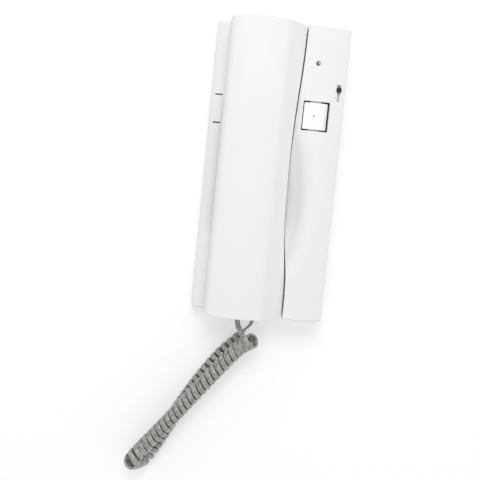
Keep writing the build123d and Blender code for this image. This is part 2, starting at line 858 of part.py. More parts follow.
def least_gap(places, outs):
    """The coil's least gap to itself, between points on its sections' outlines."""
    rings = []
    for i in range(end_sections, last_section + 1):
        place, way, out = cord_frame(places, outs, i)
        wide = way.cross(out).normalized()
        rings.append([
            tuple(place + out * (side * cord_thickness / 2) + wide * (share * cord_width / 4))
            for side in (-1, 1) for share in range(-2, 3)
        ])
    rings = numpy.array(rings)
    apart = coil_sections // 3
    gap = cord_width
    for i in range(len(rings) - apart):
        others = rings[i + apart:].reshape(-1, 3)
        for point in rings[i]:
            gap = min(gap, numpy.linalg.norm(others - point, axis=1).min())
    return gap


def bend_radii(route):
    """The largest radius that the runs beside each corner of a route allow."""
    radii = []
    for before, here, after in zip(route, route[1:], route[2:]):
        turn = (here - before).get_angle(after - here)
        run = min((here - before).length, (after - here).length)
        radii.append(0.45 * run / math.tan(math.radians(turn) / 2))
    return radii


def cord_tail(name, plug_rear, exit_run, places, coil_end, coil_way):
    """The straight cord between a plug's rear and one end of the coil."""
    rear = Vector(*plug_rear)
    route = [rear, rear - Vector(0, exit_run, 0)] + [Vector(*place) for place in places]
    route += [coil_end - coil_way * tail_run, coil_end]
    radii = bend_radii(route)
    path = FilletPolyline(*route, radius=radii)
    section = cord_section(route[0], (0, 0, 1), route[1] - route[0], cord_thickness, cord_width)
    tail = sweep(section, path=path)
    share = tail.volume / (cord_thickness * cord_width * path.length)
    print(name, "radii", [round(radius, 1) for radius in radii], "length", round(path.length, 1))
    print(name, "volume against section times length", round(share, 3))
    return tail


def cord_pieces():
    """The coil and the two tails of the cord."""
    places, outs = coil_stations()
    used = slice(end_sections - 1, last_section + 2)
    coil = wound(places[used], outs[used], cord_thickness, cord_width, cord_width)
    print("coil's least gap to itself", round(least_gap(places, outs), 2))
    middle = places[end_sections:last_section + 1]
    length = sum((after - before).length for before, after in zip(middle, middle[1:])) + 2 * cord_width
    print("coil's cord length", round(length, 1))
    start, start_way, _ = cord_frame(places, outs, end_sections)
    end, end_way, _ = cord_frame(places, outs, last_section)
    handset_rear = (handset_jack_x, -handset_half - plug_out, handset_jack_z)
    base_rear = (base_jack_x, -half_length - plug_out, base_jack_z)
    coil_start = start - start_way * cord_width
    coil_end = end + end_way * cord_width
    base_places = [(x, -half_length - out, z) for x, out, z in base_tail_places]
    handset_tail = cord_tail("handset tail", handset_rear, handset_tail_exit, [], coil_start, start_way)
    base_tail = cord_tail("base tail", base_rear, base_tail_exit, base_places, coil_end, -end_way)
    return coil, handset_tail, base_tail


def handset_plan(inset):
    """The handset's outline in plan, moved inwards by inset."""
    half = handset_half - inset
    edge_y = half - handset_bow
    left = handset_left + inset
    edge = neck_edge(-inset, edge_y)
    low = edge @ 0
    high = edge @ 1
    middle = (left + neck_top_x) / 2
    face = make_face([
        edge,
        ThreePointArc(high, (middle, half), (left, edge_y)),
        Line((left, edge_y), (left, -edge_y)),
        ThreePointArc((left, -edge_y), (middle, -half), low),
    ])
    return fillet(face.vertices(), max(handset_corner - inset, 0.5))


def handset_section(inset):
    """Cross-section of the handset's top: left wall, shoulder, arch, crease and facet."""
    left = handset_left + inset
    facet_reach = 30.0
    right = handset_crease_x + facet_reach
    arch_x = (handset_left + handset_crease_x) / 2
    shoulder = (left, handset_shoulder_z - inset)
    crease = (handset_crease_x, handset_crease_z - inset)
    end = (right, handset_crease_z - inset - facet_reach * facet_fall)
    face = make_face([
        Line((left, -10), shoulder),
        ThreePointArc(shoulder, (arch_x, handset_top_z - inset), crease),
        Line(crease, end),
        Line(end, (right, -10)),
        Line((right, -10), (left, -10)),
    ])
    corners = face.vertices()
    face = fillet(corners.sort_by_distance(Vector(*shoulder, 0))[0], shoulder_radius - inset)
    face = fillet(face.vertices().sort_by_distance(Vector(*crease, 0))[0], crease_radius)
    return Plane.XZ * face


def handset_side(inset):
    """Side view of the handset: two pads with the raised grip between them."""
    reach = handset_half + 10
    pad = pad_z + inset
    grip = grip_z + inset
    low_in = grip_half + grip_slope
    face = make_face(Polyline([
        (-reach, pad), (-low_in, pad), (-grip_half, grip), (grip_half, grip), (low_in, pad),
        (reach, pad), (reach, above), (-reach, above), (-reach, pad),
    ]))
    bends = [v for v in face.vertices() if abs(v.X) < reach - 1]
    return Plane.YZ * fillet(bends, grip_blend)


def handset_form(inset):
    """The whole handset's outer form, or its inside when inset is the wall."""
    body = extrude(handset_plan(inset), above) & extrude(handset_section(inset), base_length, both=True)
    return body & extrude(handset_side(inset), base_width, both=True)


def lip_ring():
    """The tongue that locates one shell in the other."""
    outer = handset_wall + lip_gap
    ring = extrude(handset_plan(outer) - handset_plan(outer + lip_thickness), lip_height + 1.0)
    root = extrude(handset_plan(handset_wall - 0.3) - handset_plan(outer + lip_thickness), 0.9)
    return Pos(0, 0, parting_z - 1.0) * (ring + root)


def end_cup(x, y, radius, drop, rings, step, hole):
    """A round cup under one end of the handset, with its sound holes."""
    low = pad_z - drop
    cup = post(x, y, low, pad_z + handset_wall, radius)
    cup = chamfer(cup.edges().group_by(Axis.Z)[0], 0.8)
    hollow = post(x, y, low + face_plate, pad_z + handset_wall + 0.1, radius - face_plate)
    places = [(x, y)]
    for ring in range(1, rings + 1):
        for i in range(6 * ring):
            turn = 2 * math.pi * i / (6 * ring)
            places.append((x + ring * step * math.cos(turn), y + ring * step * math.sin(turn)))
    for px, py in places:
        hollow += post(px, py, low - 1, low + face_plate + 0.1, hole)
    return cup, hollow


def handset_screw_places():
    """Centres of the two screws in the grip."""
    return [(capsule_x, grip_half - 8), (capsule_x, 8 - grip_half)]


def handset_shells():
    """The upper and lower shells of the handset."""
    shell = handset_form(0) - handset_form(handset_wall)
    upper = shell & slab(parting_z, above)
    lower = shell & slab(0, parting_z)
    lower += lip_ring()
    for x, y, radius, drop, rings in (
        (capsule_x, ear_y, ear_radius, ear_drop, ear_rings),
        (capsule_x, mouth_y, mouth_radius, mouth_drop, mouth_rings),
    ):
        cup, hollow = end_cup(x, y, radius, drop, rings, ear_ring_step, ear_hole_radius)
        lower = lower + cup - hollow
    for x, y in handset_screw_places():
        boss = post(x, y, parting_z + 0.5, handset_top_z, 3.2) & handset_form(handset_wall - 0.3)
        upper += boss - post(x, y, 0, parting_z + 8, handset_screw_radius)
        lower += post(x, y, grip_z + 1, parting_z + 0.4, 3.6)
        lower -= post(x, y, grip_z - 1, parting_z + 1, handset_screw_radius + 0.3)
        lower -= post(x, y, grip_z - 1, grip_z + 1.5, handset_screw_head + 0.3)
    lower -= jack_window(handset_jack_x, handset_jack_z, -handset_half)
    return upper, lower


def handset_screws():
    """The two screws that close the handset, in one group."""
    screws = []
    for x, y in handset_screw_places():
        head = post(x, y, grip_z + 0.2, grip_z + 1.5, handset_screw_head)
        shank = post(x, y, grip_z + 1.5, parting_z + 6, handset_screw_radius - 0.05)
        screws.append(head + shank - block(x, y, grip_z, 0.8, 2.4 * handset_screw_head, 0.9))
    return Compound(screws)


def receiver_capsule():
    """The receiver's round capsule with its magnet."""
    low = pad_z - ear_drop + face_plate + foam_thickness
    step = low + 0.5 * capsule_height
    body = post(capsule_x, ear_y, low, step, capsule_radius)
    return body + post(capsule_x, ear_y, step - 0.1, low + capsule_height, 0.55 * capsule_radius)


def receiver_foam():
    """The foam ring between the capsule and the ear plate."""
    low = pad_z - ear_drop + face_plate
    ring = post(capsule_x, ear_y, low, low + foam_thickness, capsule_radius)
    return ring - post(capsule_x, ear_y, low - 1, low + 3, capsule_radius - 3.0)


def microphone():
    """The microphone's small can."""
    low = pad_z - mouth_drop + face_plate + 0.3
    return post(capsule_x, mouth_y, low, low + mic_height, mic_radius)


def microphone_boot():
    """The rubber boot round the microphone."""
    low = pad_z - mouth_drop + face_plate
    boot = post(capsule_x, mouth_y, low, low + mic_height + 0.2, mic_radius + boot_wall)
    return boot - post(capsule_x, mouth_y, low - 1, low + mic_height + 1, mic_radius)


def handset_socket():
    """The jack in the handset's lower end."""
    wall_y = -handset_half + handset_wall + 0.4
    return jack(handset_jack_x, handset_jack_z, wall_y, pad_z + handset_wall + 0.1, parting_z - socket_under_lip)


def make_parts():
    """Every piece under the name of its file."""
    upper, lower = handset_shells()
    coil, handset_tail, base_tail = cord_pieces()
    return {
        "wall_plate": wall_plate(),
        "front_cover": front_cover(),
        "circuit_board": circuit_board(),
        "board_screws": board_screws(),
        "terminal_block": terminal_block(),
        "terminal_screws": terminal_screws(),
        "door_button": door_button(),
        "push_switch": push_switch(),
        "switch_plunger": switch_plunger(),
        "status_lens": status_lens(),
        "status_lamp": lamp(),
        "volume_knob": volume_knob(),
        "slider_shutter": slider_shutter(),
        "slide_switch": slide_switch(),
        "call_sounder": call_sounder(),
        "hook_plunger": hook_plunger(),
        "hook_switch": hook_switch(),
        "hook_spring": hook_spring(),
        "base_socket": base_socket(),
        "base_plug": plug(base_jack_x, base_jack_z, -half_length),
        "handset_upper_shell": upper,
        "handset_lower_shell": lower,
        "handset_screws": handset_screws(),
        "receiver_capsule": receiver_capsule(),
        "receiver_foam": receiver_foam(),
        "microphone": microphone(),
        "microphone_boot": microphone_boot(),
        "handset_socket": handset_socket(),
        "handset_plug": plug(handset_jack_x, handset_jack_z, -handset_half),
        "curly_cord": coil,
        "cord_handset_tail": handset_tail,
        "cord_base_tail": base_tail,
    }


for name, solid in make_parts().items():
    export_step(solid, f"parts/{name}.step")
    print(name, "written")
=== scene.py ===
# %% [markdown]
# # A door-entry telephone with a curly cord
# This scene dresses a wall telephone that lies on its back: a white handset in its cradle, a
# panel with a push button, a lamp and a volume slider, and a grey curly cord folded in two.
# The solid parts come packed from CAD with their true sizes, so the scene never moves them. It
# gives them smooth faces and finishes, and it makes the cord, which a solid can only stand for.

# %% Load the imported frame
import bpy
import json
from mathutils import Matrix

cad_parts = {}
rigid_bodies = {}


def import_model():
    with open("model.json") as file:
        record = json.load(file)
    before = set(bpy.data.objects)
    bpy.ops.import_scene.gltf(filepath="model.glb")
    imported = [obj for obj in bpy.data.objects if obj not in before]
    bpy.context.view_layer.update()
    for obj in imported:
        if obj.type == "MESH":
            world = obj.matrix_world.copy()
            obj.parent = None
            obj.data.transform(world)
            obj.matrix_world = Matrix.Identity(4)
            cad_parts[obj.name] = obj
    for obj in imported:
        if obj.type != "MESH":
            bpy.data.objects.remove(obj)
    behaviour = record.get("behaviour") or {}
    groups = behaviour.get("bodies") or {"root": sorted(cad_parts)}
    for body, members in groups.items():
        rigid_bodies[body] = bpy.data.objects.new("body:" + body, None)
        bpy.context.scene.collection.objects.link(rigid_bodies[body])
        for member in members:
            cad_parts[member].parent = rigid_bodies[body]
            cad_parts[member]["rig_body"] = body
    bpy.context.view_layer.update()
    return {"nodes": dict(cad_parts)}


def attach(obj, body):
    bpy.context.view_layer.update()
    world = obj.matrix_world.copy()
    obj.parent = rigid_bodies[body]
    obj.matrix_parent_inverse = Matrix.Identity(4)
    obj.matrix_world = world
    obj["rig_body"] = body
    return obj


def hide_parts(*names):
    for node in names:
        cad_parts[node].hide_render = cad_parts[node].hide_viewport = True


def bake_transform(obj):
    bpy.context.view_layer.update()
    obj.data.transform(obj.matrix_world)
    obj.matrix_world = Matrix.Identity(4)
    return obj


for leftover in list(bpy.data.objects):
    bpy.data.objects.remove(leftover)
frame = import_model()
nodes = frame["nodes"]

# %% [markdown]
# ## Camera
# The photograph was taken from well above the telephone with a long lens, leaning a little, so
# the object's long side runs slightly askew in the frame. A real lens is set by its focal length
# against a 36 mm wide sensor. The place and the turn are fitted to the telephone's corners.

# %% Camera at the photograph's viewpoint
import math
from mathutils import Vector

image_width = 480
focal_pixels = 831.66
sensor_width = 36.0
camera_place = (-0.032752, -0.004946, 0.653)
camera_turn = (-0.079372, -0.017060, 0.099480)

camera_data = bpy.data.cameras.new("camera")
camera_data.sensor_width = sensor_width
camera_data.lens = focal_pixels * sensor_width / image_width
camera = bpy.data.objects.new("camera", camera_data)
bpy.context.scene.collection.objects.link(camera)
camera.location = camera_place
camera.rotation_euler = camera_turn
bpy.context.scene.camera = camera
print("lens", round(camera_data.lens, 2), "mm")

# %% [markdown]
# ## Light
# Catalogue pictures of white goods use a white surround, so that shadows stay open. A white
# world does the same here. One large soft lamp above the head end adds a little more from that
# side, which gives the slopes their shade. The two together come to about 1 on a face that looks
# up, so that a colour renders about as it is written. The surround looks white to the camera and
# in gloss and glass. It lights the object at a lower strength, so the backdrop costs no detail.

# %% White surround and one soft lamp
surround_white = (1.0, 1.0, 1.0, 1.0)
surround_strength = 0.73
seen_strength = 1.0
lamp_power = 5.0
lamp_side = 0.5
lamp_place = Vector((-0.05, 0.60, 1.09))


def seen_share(tree):
    """A socket that is 1 for rays from the camera, or on from gloss or glass, and 0 for others."""
    rays = tree.nodes.new("ShaderNodeLightPath")
    seen = rays.outputs["Is Camera Ray"]
    for kind in ("Is Glossy Ray", "Is Transmission Ray"):
        either = tree.nodes.new("ShaderNodeMath")
        either.operation = "MAXIMUM"
        tree.links.new(seen, either.inputs[0])
        tree.links.new(rays.outputs[kind], either.inputs[1])
        seen = either.outputs["Value"]
    return seen


world = bpy.data.worlds.new("surround")
bpy.context.scene.world = world
world.use_nodes = True
background = world.node_tree.nodes["Background"]
background.inputs["Color"].default_value = surround_white
level = world.node_tree.nodes.new("ShaderNodeMapRange")
level.inputs["To Min"].default_value = surround_strength
level.inputs["To Max"].default_value = seen_strength
world.node_tree.links.new(seen_share(world.node_tree), level.inputs["Value"])
world.node_tree.links.new(level.outputs["Result"], background.inputs["Strength"])

lamp_data = bpy.data.lights.new("soft_lamp", "AREA")
lamp_data.shape = "SQUARE"
lamp_data.size = lamp_side
lamp_data.energy = lamp_power
soft_lamp = bpy.data.objects.new("soft_lamp", lamp_data)
bpy.context.scene.collection.objects.link(soft_lamp)
soft_lamp.location = lamp_place
soft_lamp.rotation_euler = (-lamp_place).to_track_quat("-Z", "Y").to_euler()
bpy.context.scene.view_settings.view_transform = "Standard"
print("lamp", lamp_power, "W from", tuple(round(x, 2) for x in lamp_place))

# %% [markdown]
# ## Materials are small node trees
# Each finish is a Principled shader with a pattern behind its colour and its surface. One helper
# makes the shader. Two more add what nearly every moulded or rubbed surface has: a slight drift
# of colour over centimetres, and a grain that is felt more than seen. A last one paints a soft
# round spot of another colour at one place, as painted shade or a painted highlight. They all
# read Object coordinates, so the pattern stays on its piece when the piece moves. Constants are
# set straight on the shader's sockets, because an export keeps those. All finishes are kept by
# name in one dictionary.

# %% Helpers for finishes
drift_low = 0.3
drift_high = 0.7
drift_detail = 3.0
spot_blur = 0.3
grain_detail = 2.0
edge_samples = 4
finishes = {}


def linear(red, green, blue):
    """A screen colour from 0 to 255 in a shader's linear values, by the sRGB rule."""
    values = []
    for part in (red, green, blue):
        share = part / 255
        values.append(share / 12.92 if share < 0.04045 else ((share + 0.055) / 1.055) ** 2.4)
    return (*values, 1.0)


def new_finish(name, roughness, metal=0.0):
    """A new finish, kept by its name: its node tree and its Principled shader."""
    material = bpy.data.materials.new(name)
    material.use_nodes = True
    tree = material.node_tree
    shader = tree.nodes["Principled BSDF"]
    shader.inputs["Roughness"].default_value = roughness
    shader.inputs["Metallic"].default_value = metal
    finishes[name] = material
    return tree, shader


def noise_on_object(tree, scale, detail):
    """Noise of a given scale in a piece's own Object coordinates."""
    place = tree.nodes.new("ShaderNodeTexCoord")
    noise = tree.nodes.new("ShaderNodeTexNoise")
    noise.inputs["Scale"].default_value = scale
    noise.inputs["Detail"].default_value = detail
    tree.links.new(place.outputs["Object"], noise.inputs["Vector"])
    return noise


def drift_of_colour(tree, shader, light, dark, scale):
    """Colour that wanders between two close values."""
    noise = noise_on_object(tree, scale, drift_detail)
    ramp = tree.nodes.new("ShaderNodeValToRGB")
    low, high = ramp.color_ramp.elements
    low.position, low.color = drift_low, linear(*dark)
    high.position, high.color = drift_high, linear(*light)
    tree.links.new(noise.outputs["Fac"], ramp.inputs["Fac"])
    tree.links.new(ramp.outputs["Color"], shader.inputs["Base Color"])


def painted_light_spot(name, place, radius, colour):
    """A round, soft-edged spot of another colour at a place on a named finish, as painted light or
    shade.
    """
    tree = finishes[name].node_tree
    base = tree.nodes["Principled BSDF"].inputs["Base Color"]
    under = base.links[0].from_socket
    here = tree.nodes.new("ShaderNodeTexCoord")
    away = tree.nodes.new("ShaderNodeVectorMath")
    away.operation = "DISTANCE"
    away.inputs[1].default_value = place
    tree.links.new(here.outputs["Object"], away.inputs[0])
    share = tree.nodes.new("ShaderNodeMapRange")
    share.interpolation_type = "SMOOTHSTEP"
    share.inputs["From Min"].default_value = (1 - spot_blur) * radius
    share.inputs["From Max"].default_value = (1 + spot_blur) * radius
    tree.links.new(away.outputs["Value"], share.inputs["Value"])
    mix = tree.nodes.new("ShaderNodeMix")
    mix.data_type = "RGBA"
    mix.inputs["A"].default_value = linear(*colour)
    tree.links.new(share.outputs["Result"], mix.inputs["Factor"])
    tree.links.new(under, mix.inputs["B"])
    tree.links.new(mix.outputs["Result"], base)


def fine_grain(tree, shader, scale, depth, edge=0.0):
    """A fine bump, over edges that are rounded in the shading only."""
    noise = noise_on_object(tree, scale, grain_detail)
    bump = tree.nodes.new("ShaderNodeBump")
    bump.inputs["Distance"].default_value = depth
    tree.links.new(noise.outputs["Fac"], bump.inputs["Height"])
    if edge:
        rounded = tree.nodes.new("ShaderNodeBevel")
        rounded.samples = edge_samples
        rounded.inputs["Radius"].default_value = edge
        tree.links.new(rounded.outputs["Normal"], bump.inputs["Normal"])
    tree.links.new(bump.outputs["Normal"], shader.inputs["Normal"])


print("finish helpers ready")

# %% [markdown]
# ## White mouldings
# The case is white ABS with a satin, spark-eroded grain of about a third of a millimetre. The
# handset has the same plastic, a trace cooler and smoother. The button is the brightest white,
# and the wall plate behind is a shade greyer than the case. A moulded edge is never razor sharp,
# so the shader rounds it by a fifth of a millimetre. A small dimple in the middle of the button
# catches some shade, and a soft grey spot of painted shade in the button's colour shows it.

# %% The white plastics
moulded_edge = 0.0002
white_index = 1.46
white_drift_scale = 18.0
white_grain_scale = 3200.0
white_plastics = [
    # name, light, dark, roughness, grain's depth
    ("case_white", (240, 239, 238), (237, 237, 235), 0.55, 0.000006),
    ("handset_white", (241, 240, 242), (239, 238, 240), 0.50, 0.000004),
    ("button_white", (249, 249, 249), (247, 247, 247), 0.40, 0.000002),
    ("plate_white", (232, 232, 230), (227, 227, 225), 0.50, 0.000006),
]
# Painted shade: a soft grey spot in the button's colour darkens its dimple, where shade falls.
dimple_place = (0.0278, 0.0437, 0.0342)
dimple_radius = 0.0006
dimple_painted_shade = (150, 150, 150)

for name, light, dark, roughness, grain_depth in white_plastics:
    tree, shader = new_finish(name, roughness)
    shader.inputs["IOR"].default_value = white_index
    drift_of_colour(tree, shader, light, dark, white_drift_scale)
    fine_grain(tree, shader, white_grain_scale, grain_depth, moulded_edge)
painted_light_spot("button_white", dimple_place, dimple_radius, dimple_painted_shade)
print("white plastics:", len(white_plastics))

# %% [markdown]
# ## The other finishes
# Inside are the usual materials of such a telephone: a green board, steel and brass screws,
# black switches, a metal capsule, foam and rubber. They are hidden at rest, but they show when
# the cover comes off, so each has its own colour, gloss and grain.

# %% Plain coloured plastics, rubber and foam
plain_drift_scale = 60.0
foam_drift_scale = 900.0
coloured_finishes = [
    # name, light, dark, roughness, scale of drift, scale of grain, grain's depth
    ("knob_black", (12, 12, 13), (7, 7, 8), 0.7, plain_drift_scale, 2600.0, 0.00001),
    ("switch_black", (52, 52, 54), (42, 42, 44), 0.5, plain_drift_scale, 2400.0, 0.00001),
    ("slider_grey", (222, 222, 221), (214, 214, 213), 0.5, plain_drift_scale, 2400.0, 0.00001),
    ("socket_grey", (92, 93, 95), (80, 81, 83), 0.48, plain_drift_scale, 2400.0, 0.00001),
    ("terminal_green", (58, 128, 82), (48, 112, 72), 0.45, plain_drift_scale, 2000.0, 0.00001),
    ("lamp_white", (226, 226, 214), (214, 214, 202), 0.4, plain_drift_scale, 2000.0, 0.00001),
    ("sounder_black", (46, 46, 48), (36, 36, 38), 0.42, plain_drift_scale, 1800.0, 0.00001),
    ("boot_rubber", (48, 47, 46), (38, 37, 36), 0.8, plain_drift_scale, 1500.0, 0.00002),
    ("foam_grey", (78, 77, 76), (58, 57, 56), 0.95, foam_drift_scale, 1400.0, 0.00025),
]

for name, light, dark, roughness, drift_scale, grain_scale, grain_depth in coloured_finishes:
    tree, shader = new_finish(name, roughness)
    drift_of_colour(tree, shader, light, dark, drift_scale)
    fine_grain(tree, shader, grain_scale, grain_depth)
print("coloured finishes:", len(coloured_finishes))

# %% [markdown]
# Drawn, rolled or plated metal is never quite even. Its tone wanders over a few millimetres, and
# its surface carries marks three times finer than that, so one number sets both scales.

# %% Metals
metal_grain_depth = 0.000004
marks_per_patch = 3
metals = [
    # name, light, dark, roughness, scale of the patches
    ("screw_steel", (196, 197, 199), (170, 171, 173), 0.32, 500.0),
    ("spring_steel", (188, 189, 192), (160, 161, 164), 0.28, 700.0),
    ("terminal_brass", (205, 172, 98), (182, 148, 78), 0.34, 500.0),
    ("contact_gold", (226, 190, 110), (208, 170, 92), 0.25, 700.0),
    ("capsule_metal", (176, 178, 180), (150, 152, 154), 0.4, 260.0),
]

for name, light, dark, roughness, patches in metals:
    tree, shader = new_finish(name, roughness, metal=1.0)
    drift_of_colour(tree, shader, light, dark, patches)
    fine_grain(tree, shader, marks_per_patch * patches, metal_grain_depth)
print("metals:", len(metals))

# %% [markdown]
# A circuit board is glass cloth under green lacquer. The cloth shows as a faint weave, which two
# crossed wave patterns make, and it lifts the lacquer by a few microns.

# %% Green circuit board
lacquer_light = (30, 104, 62)
lacquer_dark = (22, 84, 50)
lacquer_roughness = 0.3
lacquer_drift_scale = 40.0
weave_scale = 260.0
weave_depth = 0.000008


def woven_board():
    """Green lacquer over glass cloth."""
    tree, shader = new_finish("board_green", lacquer_roughness)
    drift_of_colour(tree, shader, lacquer_light, lacquer_dark, lacquer_drift_scale)
    place = tree.nodes.new("ShaderNodeTexCoord")
    weave = tree.nodes.new("ShaderNodeMath")
    weave.operation = "ADD"
    for way, socket in (("X", 0), ("Y", 1)):
        wave = tree.nodes.new("ShaderNodeTexWave")
        wave.bands_direction = way
        wave.inputs["Scale"].default_value = weave_scale
        tree.links.new(place.outputs["Object"], wave.inputs["Vector"])
        tree.links.new(wave.outputs["Fac"], weave.inputs[socket])
    bump = tree.nodes.new("ShaderNodeBump")
    bump.inputs["Distance"].default_value = weave_depth
    tree.links.new(weave.outputs["Value"], bump.inputs["Height"])
    tree.links.new(bump.outputs["Normal"], shader.inputs["Normal"])


woven_board()
print("board finish:", finishes["board_green"].name)

# %% [markdown]
# A modular plug is clear polycarbonate with a trace of yellow. The lamp's lens is acrylic tinted
# grey. In the photograph it is unlit and dark, with one pale glint on its right side. No lamp of
# this scene stands where it would give that glint, so a soft spot of near white gives it.

# %% Clear plug plastic and lamp lens
clear_drift_scale = 300.0
clear_grain_scale = 1800.0
clear_grain_depth = 0.000003
clear_plastics = [
    # name, light, dark, roughness, index of refraction, share of light let through
    ("plug_clear", (226, 222, 208), (214, 208, 190), 0.16, 1.58, 0.75),
    ("lens_clear", (112, 114, 116), (88, 90, 92), 0.10, 1.49, 0.2),
]
# Painted highlight: a soft near-white spot in the lens's colour stands in for the glint on its
# right side.
glint_place = (0.0284, 0.0827, 0.0341)
glint_radius = 0.0010
painted_glint_white = (236, 236, 234)

for name, light, dark, roughness, index, through in clear_plastics:
    tree, shader = new_finish(name, roughness)
    shader.inputs["IOR"].default_value = index
    shader.inputs["Transmission Weight"].default_value = through
    drift_of_colour(tree, shader, light, dark, clear_drift_scale)
    fine_grain(tree, shader, clear_grain_scale, clear_grain_depth)
painted_light_spot("lens_clear", glint_place, glint_radius, painted_glint_white)
print("clear plastics:", len(clear_plastics))

# %% [markdown]
# ## Cord sheath
# The cord is soft grey PVC. Its skin is glossy, so each turn carries a bright streak, and its
# shade wanders over a few millimetres where hands have stretched it. A clear coat over the grey
# gives the streaks, and the grain under it keeps them soft.

# %% The cord's finish
sheath_light = (172, 169, 163)
sheath_dark = (114, 112, 110)
sheath_roughness = 0.30
sheath_index = 1.54
sheath_coat = 1.0
coat_roughness = 0.16
sheath_drift_scale = 330.0
sheath_grain_scale = 1500.0
sheath_grain_depth = 0.00001

tree, shader = new_finish("cord_sheath", sheath_roughness)
shader.inputs["IOR"].default_value = sheath_index
shader.inputs["Coat Weight"].default_value = sheath_coat
shader.inputs["Coat Roughness"].default_value = coat_roughness
drift_of_colour(tree, shader, sheath_light, sheath_dark, sheath_drift_scale)
fine_grain(tree, shader, sheath_grain_scale, sheath_grain_depth)
print("cord finish:", finishes["cord_sheath"].name)

# %% [markdown]
# ## Smooth copies of the mouldings
# A CAD shape arrives as flat triangles that share no corners, so a curved wall would render with
# facets. A copy is welded first, and the normals that came with it are dropped, because they fit
# the old triangles and leave dark marks along the edges. Triangles that lie in one plane become
# one face, because long thin ones leave streaks of light on a flat wall. The handset's ruled side
# walls need a wider tolerance for this than the rest. Then the faces are shaded smooth everywhere
# but across real edges, which are the ones that turn by more than thirty degrees. The copy takes
# the node's place, rides on the same body and gets the finish listed for it.

# %% Weld, smooth and dress a CAD node
import bmesh

weld_distance = 0.000002
edge_angle = math.radians(30)
flat_angle = math.radians(0.05)
ruled_angle = math.radians(0.5)
ruled_walls = ("handset_upper_shell", "handset_lower_shell")


def welded(node):
    """A copy of a CAD node's mesh with its corners joined and its flat triangles made one face."""
    mesh = nodes[node].data.copy()
    if mesh.has_custom_normals:
        mesh.attributes.remove(mesh.attributes["custom_normal"])
    shape = bmesh.new()
    shape.from_mesh(mesh)
    bmesh.ops.remove_doubles(shape, verts=shape.verts, dist=weld_distance)
    limit = ruled_angle if node in ruled_walls else flat_angle
    bmesh.ops.dissolve_limit(shape, angle_limit=limit, verts=shape.verts, edges=shape.edges)
    shape.to_mesh(mesh)
    shape.free()
    mesh.shade_smooth()
    mesh.set_sharp_from_angle(angle=edge_angle)
    return mesh


def smooth_copy(node, finish, name):
    """Put a smooth copy in the place of a CAD node."""
    piece = bpy.data.objects.new(name, welded(node))
    bpy.context.scene.collection.objects.link(piece)
    piece.data.materials.clear()
    piece.data.materials.append(finishes[finish])
    weighted = piece.modifiers.new("flat_faces_stay_flat", "WEIGHTED_NORMAL")
    weighted.keep_sharp = True
    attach(piece, nodes[node]["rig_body"])
    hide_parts(node)


mouldings = [
    ("front_cover", "case_white", "cover_moulding"),
    ("wall_plate", "plate_white", "wall_plate_moulding"),
    ("handset_upper_shell", "handset_white", "handset_top_moulding"),
    ("handset_lower_shell", "handset_white", "handset_bottom_moulding"),
    ("door_button", "button_white", "button_moulding"),
    ("volume_knob", "knob_black", "volume_moulding"),
    ("hook_plunger", "handset_white", "hook_moulding"),
    ("status_lens", "lens_clear", "lamp_lens"),
    ("hook_spring", "spring_steel", "hook_spring_wire"),
    ("call_sounder", "sounder_black", "sounder_case"),
    ("receiver_capsule", "capsule_metal", "receiver_case"),
]
for node, finish, name in mouldings:
    smooth_copy(node, finish, name)
print("smooth copies:", len(mouldings))

# %% [markdown]
# The other nodes are plain boxes and pins whose shape is already right. They keep their own
# meshes and only get a finish.

# %% Finishes on the remaining nodes
plain_nodes = {
    "circuit_board": "board_green",
    "board_screws": "screw_steel",
    "handset_screws": "screw_steel",
    "terminal_block": "terminal_green",
    "terminal_screws": "terminal_brass",
    "push_switch": "switch_black",
    "switch_plunger": "knob_black",
    "status_lamp": "lamp_white",
    "slide_switch": "switch_black",
    "slider_shutter": "slider_grey",
    "hook_switch": "switch_black",
    "base_socket": "socket_grey",
    "handset_socket": "socket_grey",
    "base_plug": "plug_clear",
    "handset_plug": "plug_clear",
    "receiver_foam": "foam_grey",
    "microphone": "capsule_metal",
    "microphone_boot": "boot_rubber",
}
for node, finish in plain_nodes.items():
    nodes[node].data.materials.clear()
    nodes[node].data.materials.append(finishes[finish])
print("plain nodes dressed:", len(plain_nodes))

# %% [markdown]
# ## Contacts of the two plugs
# A handset plug has four flat contacts, pressed through its plastic until they bite the wires. A
# press sets them in one stroke, all alike and a millimetre apart. Geometry Nodes does the same:
# one blade is put on every point of a row. The number, the step, the blade and the finish are the
# tree's inputs, so one tree serves both plugs.

# %% A Geometry Nodes tree that repeats one blade in a row
def blade_row_tree():
    """A tree that puts a box on each point of a row."""
    tree = bpy.data.node_groups.new("blade_row", "GeometryNodeTree")
    for name, kind in (
        ("Count", "NodeSocketInt"), ("Start", "NodeSocketVector"), ("Step", "NodeSocketVector"),
        ("Blade", "NodeSocketVector"), ("Finish", "NodeSocketMaterial"),
    ):
        tree.interface.new_socket(name=name, in_out="INPUT", socket_type=kind)
    tree.interface.new_socket(name="Geometry", in_out="OUTPUT", socket_type="NodeSocketGeometry")
    given = tree.nodes.new("NodeGroupInput")
    row = tree.nodes.new("GeometryNodeMeshLine")
    row.mode = "OFFSET"
    blade = tree.nodes.new("GeometryNodeMeshCube")
    copies = tree.nodes.new("GeometryNodeInstanceOnPoints")
    real = tree.nodes.new("GeometryNodeRealizeInstances")
    dressed = tree.nodes.new("GeometryNodeSetMaterial")
    result = tree.nodes.new("NodeGroupOutput")
    for start, end in (
        (given.outputs["Count"], row.inputs["Count"]),
        (given.outputs["Start"], row.inputs["Start Location"]),
        (given.outputs["Step"], row.inputs["Offset"]),
        (given.outputs["Blade"], blade.inputs["Size"]),
        (given.outputs["Finish"], dressed.inputs["Material"]),
        (row.outputs["Mesh"], copies.inputs["Points"]),
        (blade.outputs["Mesh"], copies.inputs["Instance"]),
        (copies.outputs["Instances"], real.inputs["Geometry"]),
        (real.outputs["Geometry"], dressed.inputs["Geometry"]),
        (dressed.outputs["Geometry"], result.inputs["Geometry"]),
    ):
        tree.links.new(start, end)
    return tree


